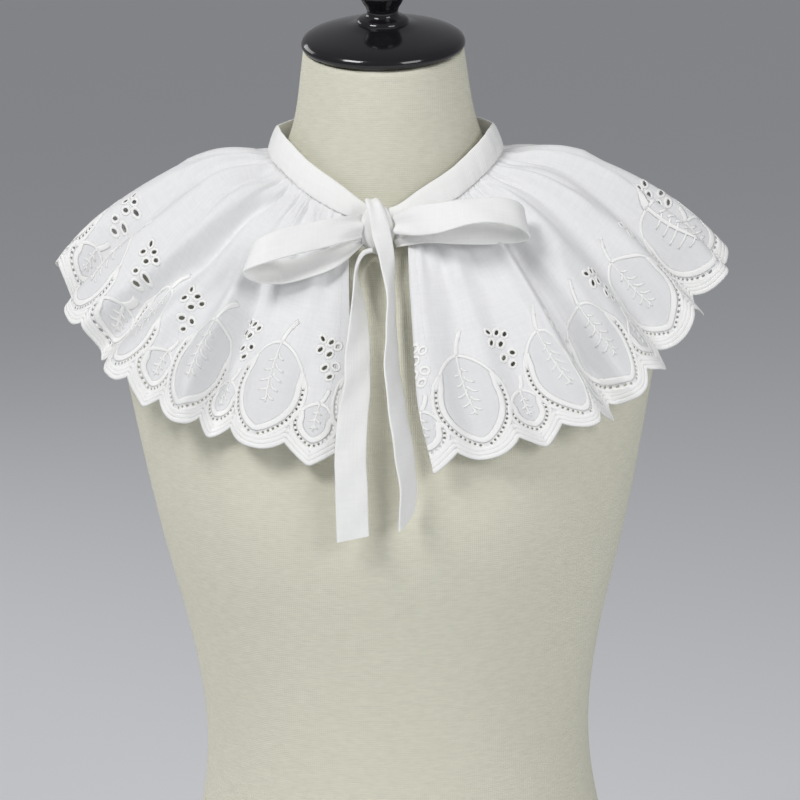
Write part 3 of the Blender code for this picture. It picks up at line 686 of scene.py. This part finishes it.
def stitch_lines(lines, width, height, off, capped=True):
    """Flat bmesh of raised rows of stitches along lines, each its points and whether it closes."""
    curve = bpy.data.curves.new("stitch_lines", "CURVE")
    curve.dimensions = "3D"
    curve.bevel_depth = 0.5 * width
    curve.bevel_resolution = 1
    curve.use_fill_caps = capped
    for line, closed in lines:
        spline = curve.splines.new("POLY")
        spline.points.add(len(line) - 1)
        spline.use_cyclic_u = closed
        for point, (x, y) in zip(spline.points, line):
            point.co = (x, y, 0.0, 1.0)
    holder = bpy.data.objects.new("stitch_lines", curve)
    bpy.context.scene.collection.objects.link(holder)
    bpy.context.view_layer.update()
    mesh = holder.to_mesh()
    bm = bmesh.new()
    bm.from_mesh(mesh)
    holder.to_mesh_clear()
    bpy.data.objects.remove(holder)
    bpy.data.curves.remove(curve)
    for vert in bm.verts:
        vert.co.z = vert.co.z / (0.5 * width) * height + off
    return bm


def stitch_piece(name, parts):
    """One piece of stitching: its flat parts repeated along the strip and draped with the cloth."""
    whole = bmesh.new()
    for part in parts:
        mesh = bpy.data.meshes.new("part")
        part.to_mesh(mesh)
        part.free()
        whole.from_mesh(mesh)
        bpy.data.meshes.remove(mesh)
    repeated(whole, -1, LAST_REPEAT)
    bmesh.ops.holes_fill(whole, edges=[edge for edge in whole.edges if edge.is_boundary], sides=12)
    bmesh.ops.recalc_face_normals(whole, faces=whole.faces)
    keep_flat_uv(whole)
    drape(whole)
    piece = add_piece(name, whole, satin)
    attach(piece, "root")
    return piece


border = []
for inward in (0.0011, 0.0036, 0.0060):
    across = np.linspace(-HALF_REPEAT, HALF_REPEAT, 241)
    rise = hem_rise(across)
    steep = np.sqrt(1.0 + np.gradient(rise, across) ** 2)
    row = np.stack([across, rise + inward * steep - CUT_DEPTH], -1)
    border.append((evenly(row, 0.0016), False))
edging = stitch_piece("scallop_edging", [stitch_lines(border, *BORDER_ROW, capped=False)])


def leaf_band(middle, size, inward, first, last):
    """A line inside a leaf's outline by the given distance, which meets the outline at both ends."""
    turn = np.linspace(first, last, 241)
    inward = inward * np.clip((turn - first) / 16.0, 0, 1) * np.clip((last - turn) / 16.0, 0, 1)
    points = [leaf_line(math.radians(one), size[0] - gap, size[1] - 1.25 * gap, size[2] - gap, size[3])
              for one, gap in zip(turn, inward)]
    return evenly(middle + np.array(points), 0.0018)


def bent(start, end, bow, spacing=0.0018):
    """A stroke from start to end that bows out to its left by the given distance."""
    start, end = np.array(start), np.array(end)
    share = np.linspace(0, 1, 21)[:, None]
    side = np.array([-(end - start)[1], (end - start)[0]]) / np.linalg.norm(end - start)
    return evenly(start + (end - start) * share + side * bow * np.sin(np.pi * share), spacing)


outlines = [
    (leaf_band(LARGE_LEAF, LARGE_SIZE, 0.0, 108, 262), False),
    (leaf_band(SMALL_LEAF, SMALL_SIZE, 0.0, 100, 264), False),
]
inside_bands = [
    (leaf_band(LARGE_LEAF, LARGE_SIZE, 0.0029, -118, 130), False),
    (leaf_band(SMALL_LEAF, SMALL_SIZE, 0.0028, -116, 122), False),
]
outside_bands = [
    (leaf_band(LARGE_LEAF, LARGE_SIZE, -0.0020, -116, 128), False),
    (leaf_band(SMALL_LEAF, SMALL_SIZE, -0.0019, -112, 120), False),
]
large_top = LARGE_LEAF + (0.0020, 0.0278)
small_top = SMALL_LEAF + (-0.0010, 0.0127)
stems = [
    (bent(large_top, large_top + (-0.0070, 0.0148), -0.0014), False),
    (bent(large_top + (-0.0036, 0.0094), large_top + (-0.0074, 0.0150), -0.0004), False),
    (bent(small_top, small_top + (-0.0042, 0.0090), 0.0008), False),
]
veins = [
    (bent(large_top, LARGE_LEAF + (-0.0014, -0.0088), 0.0010), False),
    (bent(small_top, SMALL_LEAF + (0.0004, -0.0040), 0.0003), False),
]
# share of the midrib, reach of the left vein, reach of the right vein
for share, left, right in ((0.20, 0.0052, 0.0060), (0.36, 0.0078, 0.0070), (0.52, 0.0080, 0.0084),
                           (0.69, 0.0070, 0.0074), (0.86, 0.0052, 0.0046)):
    root = LARGE_LEAF + np.array([0.0020 - 0.0034 * share - 0.0007, 0.0278 - 0.0366 * share])
    veins.append((bent(root, root + (-0.80 * left, -0.52 * left), 0.0009), False))
    root = root + (0.0, -0.0016)
    veins.append((bent(root, root + (0.82 * right, -0.50 * right), -0.0009), False))
# share of the small midrib, reach of both its veins
for share, reach in ((0.28, 0.0034), (0.54, 0.0042), (0.80, 0.0030)):
    root = small_top + np.array([0.0014 * share, -0.0167 * share])
    veins.append((bent(root, root + (-0.80 * reach, -0.55 * reach), 0.0004, 0.0015), False))
    veins.append((bent(root, root + (0.82 * reach, -0.50 * reach), -0.0004, 0.0015), False))
leaves = stitch_piece("leaf_stitching", [
    stitch_lines(outlines, *OUTLINE),
    stitch_lines(inside_bands, *INSIDE_BAND),
    stitch_lines(outside_bands, *OUTSIDE_BAND),
    stitch_lines(stems, *STEM),
    stitch_lines(veins, *VEIN),
])

RING_GROWTH = 0.0017
eyelet_rings = []
for across, up, length, width, turn in EYELETS:
    ring = oval(CLUSTER + (across, up), length + RING_GROWTH, width + RING_GROWTH, turn, 16)
    eyelet_rings.append((ring, True))
eyelets = stitch_piece("eyelet_rings", [stitch_lines(eyelet_rings, *EYELET_RING)])


# Front hems
# The two short front edges are turned in twice, 9 mm wide, and stitched down in white cotton.
# The turned-in layers lie on the inside, where they make the edge closer and firmer.
HEM_WIDTH = 0.0090
HEM_INSET = 0.0004
HEM_THICKNESS = 0.0005


def front_hem(name, start, end):
    """Turned-in layers of one front edge, laid just inside the cloth."""
    bm = bmesh.new()
    bmesh.ops.create_grid(bm, x_segments=5, y_segments=84, size=0.5)
    for vert in bm.verts:
        along = start + (end - start) * (vert.co.x + 0.5)
        across = (along - FIRST_TIP + HALF_REPEAT) % REPEAT - HALF_REPEAT
        down = (0.5 - vert.co.y) * (CUT_DEPTH - float(hem_rise(np.array(across))) - 0.0008)
        vert.co = (along, -down, -0.00048)
    keep_flat_uv(bm)
    drape(bm)
    piece = add_piece(name, bm, voile)
    wall = piece.modifiers.new("Wall", "SOLIDIFY")
    wall.thickness = HEM_THICKNESS
    wall.offset = 0.0
    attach(piece, "root")
    return piece


hem_left = front_hem("front_hem_left", HEM_INSET, HEM_WIDTH)
hem_right = front_hem("front_hem_right", CUT_LENGTH - HEM_WIDTH, CUT_LENGTH - HEM_INSET)
HEM_STITCH = (0.00055, 0.00022, 0.00018)
STITCH_FROM_EDGE = 0.0080
STITCH_PITCH = 0.0030
STITCH_LENGTH = 0.0021
stitched = []
for along in (STITCH_FROM_EDGE, CUT_LENGTH - STITCH_FROM_EDGE):
    for start in np.arange(0.004, CUT_DEPTH - 0.010, STITCH_PITCH):
        stitched.append((np.array([[along, -start], [along, -start - STITCH_LENGTH]]), False))
bm = stitch_lines(stitched, *HEM_STITCH)
keep_flat_uv(bm)
drape(bm)
hem_stitches = add_piece("front_hem_stitches", bm, satin)
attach(hem_stitches, "root")


# Neckband
# A straight strip of plain cotton, folded double to 17.5 mm, that stands round the neck.
# The gathered cloth is caught between its lower edges, and its two ends run on into the bow.
cotton, tree, shader = finish_of("white_cotton", (0.88, 0.88, 0.86), 0.8)
shader.inputs["Sheen Weight"].default_value = 0.3
shader.inputs["Sheen Roughness"].default_value = 0.5
woven(tree, shader, (0.89, 0.89, 0.875), (0.865, 0.865, 0.85), thread=1500.0, strength=0.3)

BAND_HEIGHT = 0.0175
BAND_LENGTH = 0.43
BAND_START = -13.0
BAND_TURN = 382.0
BAND_LEAN = 0.32


def band_place(turn, share):
    """Points of the band's middle surface at turns round the neck and shares of its height."""
    lower = cloth_ring(CLOTH_RINGS[0], turn)
    outward = lower * np.array([1.0, 1.0, 0.0])
    outward /= np.linalg.norm(outward, axis=-1, keepdims=True)
    # The knot draws both ends of the band together to half its height
    drawn = 1.0 - 0.50 * (np.exp(-((turn + 15.0) / 15.0) ** 2) + np.exp(-((turn - 371.0) / 15.0) ** 2))
    rise = (BAND_HEIGHT * share * drawn)[..., None]
    point = lower - outward * (0.0008 + BAND_LEAN * rise - 0.0008 * np.sin(np.pi * share)[..., None])
    point[..., 2] += 0.0012 + rise[..., 0] * math.sqrt(1.0 - BAND_LEAN ** 2) + NECK_Z
    return point, outward


bm = bmesh.new()
bmesh.ops.create_grid(bm, x_segments=360, y_segments=24, size=0.5)
bm.verts.ensure_lookup_table()
flat_place = np.array([vert.co for vert in bm.verts])
turn = BAND_START + BAND_TURN * (flat_place[:, 0] + 0.5)
round_band = 2 * np.pi * (flat_place[:, 1] + 0.5)
share = 0.5 - 0.5 * np.sign(np.cos(round_band)) * np.abs(np.cos(round_band)) ** 0.55
outside = np.sin(round_band)
point, outward = band_place(turn, share)
pucker = np.sin(turn * 1.9 + 2.0 * np.sin(turn * 0.31)) * np.exp(-(share / 0.30) ** 2)
soft = np.sin(turn * 0.23 + 1.0) + 0.6 * np.sin(turn * 0.61 + 2.0)
thick = 0.0011 * np.sign(outside) * np.abs(outside) ** 0.45
point += outward * (thick + 0.00022 * pucker * (outside > 0) + 0.00018 * soft)[:, None]
uv_along = (turn - BAND_START) / BAND_TURN * BAND_LENGTH
BAND_GIRTH = 0.037
uv = bm.loops.layers.uv.new("flat")
for face in bm.faces:
    for loop in face.loops:
        i = loop.vert.index
        loop[uv].uv = (uv_along[i], BAND_GIRTH * (flat_place[i, 1] + 0.5))
for vert, place in zip(bm.verts, point):
    vert.co = place
bmesh.ops.remove_doubles(bm, verts=bm.verts, dist=1e-6)
bmesh.ops.holes_fill(bm, edges=[edge for edge in bm.edges if edge.is_boundary], sides=60)
bmesh.ops.recalc_face_normals(bm, faces=bm.faces)
band = add_piece("neck_band", bm, cotton)
band.data.set_sharp_from_angle(angle=math.radians(60))
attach(band, "root")
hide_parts("neckband")


# Bow
# The band's ends, folded double to 19 mm, are tied in a bow of two loops and two hanging tails.
# The right end wraps over the knot and falls in front, and the left one drops from its side.
TIE_GIRTH = 0.040
HALF_THICKNESS = 0.00085

# Middle line of each strip, with its heights counted from the seam's level
# x, y, z, lean in degrees, turn in degrees, width
LOOP_LEFT = (
    (-0.0148, -0.0706, -0.0405, 25, 0, 0.014),
    (-0.0300, -0.0830, -0.0420, 27, 0, 0.017),
    (-0.0600, -0.0960, -0.0470, 30, 4, 0.019),
    (-0.0740, -0.0990, -0.0510, 30, 10, 0.019),
    (-0.0810, -0.0950, -0.0560, 32, 18, 0.019),
    (-0.0770, -0.0890, -0.0620, 40, 12, 0.019),
    (-0.0640, -0.0860, -0.0650, 50, 4, 0.019),
    (-0.0470, -0.0840, -0.0625, 48, -5, 0.018),
    (-0.0300, -0.0790, -0.0570, 42, -8, 0.015),
    (-0.0150, -0.0662, -0.0500, 30, 0, 0.007),
)
LOOP_RIGHT = (
    (0.0050, -0.0706, -0.0395, 25, 0, 0.013),
    (0.0160, -0.0810, -0.0370, 20, 0, 0.018),
    (0.0300, -0.0890, -0.0350, 25, 2, 0.019),
    (0.0470, -0.0910, -0.0315, 42, 3, 0.019),
    (0.0620, -0.0890, -0.0310, 45, 0, 0.019),
    (0.0760, -0.0830, -0.0340, 38, -8, 0.019),
    (0.0820, -0.0750, -0.0400, 28, -12, 0.019),
    (0.0760, -0.0700, -0.0440, 25, -8, 0.018),
    (0.0600, -0.0730, -0.0450, 22, -4, 0.016),
    (0.0420, -0.0770, -0.0450, 20, 0, 0.014),
    (0.0240, -0.0760, -0.0450, 20, 0, 0.012),
    (0.0050, -0.0662, -0.0500, 20, 0, 0.008),
)
TAIL_LEFT = (
    (-0.0085, -0.0754, -0.0540, 0, 90, 0.009),
    (-0.0145, -0.0795, -0.0560, 0, 90, 0.013),
    (-0.0183, -0.0865, -0.0640, 0, 88, 0.017),
    (-0.0185, -0.0935, -0.0740, 0, 78, 0.019),
    (-0.0175, -0.1020, -0.0890, 0, 60, 0.019),
    (-0.0184, -0.1120, -0.1080, 0, 44, 0.019),
    (-0.0190, -0.1195, -0.1270, 0, 38, 0.019),
    (-0.0220, -0.1260, -0.1470, 0, 20, 0.019),
    (-0.0236, -0.1300, -0.1670, 0, 15, 0.019),
    (-0.0235, -0.1320, -0.1860, 0, 12, 0.019),
    (-0.0233, -0.1325, -0.2160, 0, 10, 0.019),
)
TAIL_RIGHT = (
    (-0.0085, -0.0672, -0.0255, 0, 20, 0.009),
    (-0.0072, -0.0714, -0.0278, 0, 20, 0.010),
    (-0.0050, -0.0746, -0.0360, 0, 20, 0.011),
    (-0.0030, -0.0758, -0.0460, 0, 20, 0.012),
    (-0.0008, -0.0790, -0.0570, 0, 38, 0.012),
    (0.0009, -0.0870, -0.0710, 0, 62, 0.013),
    (0.0015, -0.0955, -0.0830, 0, 75, 0.016),
    (0.0013, -0.1040, -0.0990, 0, 72, 0.018),
    (0.0012, -0.1130, -0.1190, 0, 64, 0.019),
    (0.0038, -0.1210, -0.1420, 0, 58, 0.019),
    (0.0070, -0.1265, -0.1650, 0, 57, 0.019),
    (0.0093, -0.1285, -0.1870, 0, 60, 0.019),
    (0.0081, -0.1290, -0.2070, 0, 60, 0.019),
)


def tie_strip(name, node, course, hangs, pleat, slant=0.0):
    """Folded cotton strip along a course, pleated at the knot, with its end cut at a slant."""
    steps = 10 * (len(course) - 1)
    table = smooth_rows(course, np.linspace(0, len(course) - 1, steps + 1))
    lean, turn = np.radians(table[:, 3]), np.radians(table[:, 4])
    if hangs:
        side = np.stack([np.cos(turn), np.sin(turn), np.zeros_like(turn)], -1)
    else:
        side = np.stack([np.sin(turn) * np.cos(lean), np.sin(lean), np.cos(turn) * np.cos(lean)], -1)
    middle = table[:, :3] + np.array([0.0, 0.0, NECK_Z])
    forward = np.gradient(middle, axis=0)
    face = np.cross(side, forward)
    face /= np.linalg.norm(face, axis=-1, keepdims=True)
    gone = np.concatenate([[0.0], np.cumsum(np.linalg.norm(np.diff(middle, axis=0), axis=-1))])
    nearest = gone if hangs else np.minimum(gone, gone[-1] - gone)
    bm = bmesh.new()
    bmesh.ops.create_grid(bm, x_segments=steps, y_segments=28, size=0.5)
    bm.verts.ensure_lookup_table()
    uv = bm.loops.layers.uv.new("flat")
    flat_place = np.array([vert.co for vert in bm.verts])
    row = np.rint((flat_place[:, 0] + 0.5) * steps).astype(int)
    angle = 2 * np.pi * (flat_place[:, 1] + 0.5)
    across = -0.5 * np.sign(np.cos(angle)) * np.abs(np.cos(angle)) ** 0.8
    off = HALF_THICKNESS * np.sign(np.sin(angle)) * np.abs(np.sin(angle)) ** 0.4
    pleats = pleat * np.exp(-(nearest[row] / 0.016) ** 2) * np.cos(2 * np.pi * 1.6 * across + 0.5)
    short_ripple = 0.00022 * np.sin(gone[row] / 0.0046 + 5 * across)
    long_ripple = 0.00025 * np.sin(gone[row] / 0.013 - 3 * across)
    off = off + pleats + (short_ripple + long_ripple) * np.clip(nearest[row] / 0.02, 0, 1)
    spot = middle[row] + side[row] * (table[row, 5] * across)[:, None] + face[row] * off[:, None]
    if slant:
        spot[:, 2] += slant * across * np.clip((gone[row] - gone[-1] + 0.012) / 0.012, 0, 1)
    for piece_face in bm.faces:
        for loop in piece_face.loops:
            i = loop.vert.index
            loop[uv].uv = (gone[row[i]], TIE_GIRTH * (flat_place[i, 1] + 0.5))
    for vert, place in zip(bm.verts, spot):
        vert.co = place
    bmesh.ops.remove_doubles(bm, verts=bm.verts, dist=1e-6)
    bmesh.ops.holes_fill(bm, edges=[edge for edge in bm.edges if edge.is_boundary], sides=60)
    bmesh.ops.recalc_face_normals(bm, faces=bm.faces)
    strip = add_piece(name, bm, cotton)
    strip.data.set_sharp_from_angle(angle=math.radians(70))
    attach(strip, "root")
    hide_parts(node)


tie_strip("bow_loop_left", "loop_left", LOOP_LEFT, False, 0.0013)
tie_strip("bow_loop_right", "loop_right", LOOP_RIGHT, False, 0.0011)
tie_strip("bow_tail_left", "tail_left", TAIL_LEFT, True, 0.0006, 0.003)
tie_strip("bow_tail_right", "tail_right", TAIL_RIGHT, True, 0.0006, 0.008)

KNOT_MIDDLE = (-0.0050, -0.0663, -0.0430)
bm = bmesh.new()
bmesh.ops.create_uvsphere(bm, u_segments=64, v_segments=40, radius=1.0)
uv = bm.loops.layers.uv.new("flat")
for face in bm.faces:
    for loop in face.loops:
        loop[uv].uv = (0.010 * math.atan2(loop.vert.co.y, loop.vert.co.x), 0.014 * loop.vert.co.z)
for vert in bm.verts:
    x, y, z = vert.co
    wrap = 1.0 + 0.10 * math.sin(6.0 * math.atan2(x, -y) + 2.6 * z) * (1.0 - z * z)
    half_wide = 0.0108 if x < 0 else 0.0088
    vert.co = (half_wide * x * (1.0 + 0.12 * z * z) * wrap + KNOT_MIDDLE[0],
               0.0068 * y * wrap + KNOT_MIDDLE[1], 0.0150 * z + NECK_Z + KNOT_MIDDLE[2])
knot = add_piece("bow_knot", bm, cotton)
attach(knot, "root")
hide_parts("knot")


# Studio
# A pale floor, three softboxes and a mid-grey surround, as in a plain studio.
# The camera stands 1.8 m away, 9 degrees above the level of the form, and leans 1.2 degrees.
floor_finish, tree, shader = finish_of("studio_floor", (0.86, 0.87, 0.89), 0.9)
bm = bmesh.new()
bmesh.ops.create_circle(bm, cap_ends=True, radius=60.0, segments=96)
bmesh.ops.translate(bm, verts=bm.verts, vec=(0.0, 0.0, -0.0005))
floor = add_piece("studio_floor", bm, floor_finish)

world = bpy.data.worlds.new("studio")
world.use_nodes = True
world.node_tree.nodes["Background"].inputs["Color"].default_value = (0.255, 0.258, 0.268, 1.0)
world.node_tree.nodes["Background"].inputs["Strength"].default_value = 1.0
bpy.context.scene.world = world

# x, y, z, size across, size up, watts
SOFTBOXES = (
    (-1.5, -1.5, 2.5, 1.0, 0.9, 44.0),
    (1.6, -2.1, 1.6, 1.2, 1.2, 24.0),
    (-2.2, 1.7, 1.8, 1.6, 1.0, 12.0),
)
for x, y, z, wide, tall, watts in SOFTBOXES:
    lamp = bpy.data.lights.new("softbox", "AREA")
    lamp.shape = "RECTANGLE"
    lamp.size = wide
    lamp.size_y = tall
    lamp.energy = watts
    softbox = bpy.data.objects.new("softbox", lamp)
    softbox.location = (x, y, z)
    softbox.rotation_euler = (Vector((0, 0, 0.55)) - softbox.location).to_track_quat("-Z", "Y").to_euler()
    bpy.context.scene.collection.objects.link(softbox)

CAMERA_AWAY = 1.8
CAMERA_ELEVATION = math.radians(9.0)
CAMERA_LEAN = math.radians(1.2)
HALF_FIELD = 0.1378
SENSOR = 36.0
lens = bpy.data.cameras.new("camera")
lens.sensor_width = SENSOR
lens.sensor_height = SENSOR
lens.sensor_fit = "HORIZONTAL"
lens.lens = SENSOR / (2 * HALF_FIELD)
camera = bpy.data.objects.new("camera", lens)
bpy.context.scene.collection.objects.link(camera)
target = Vector((0.0056, 0.0, NECK_Z - 0.156))
away = Vector((0.0, -math.cos(CAMERA_ELEVATION), math.sin(CAMERA_ELEVATION)))
camera.location = target + CAMERA_AWAY * away
aim = (target - camera.location).to_track_quat("-Z", "Y").to_matrix()
across = aim.col[0] * math.cos(CAMERA_LEAN) - aim.col[1] * math.sin(CAMERA_LEAN)
upward = aim.col[0] * math.sin(CAMERA_LEAN) + aim.col[1] * math.cos(CAMERA_LEAN)
aim.col[0] = across
aim.col[1] = upward
camera.rotation_euler = aim.to_euler()
bpy.context.scene.camera = camera
bpy.context.scene.view_settings.view_transform = "Standard"
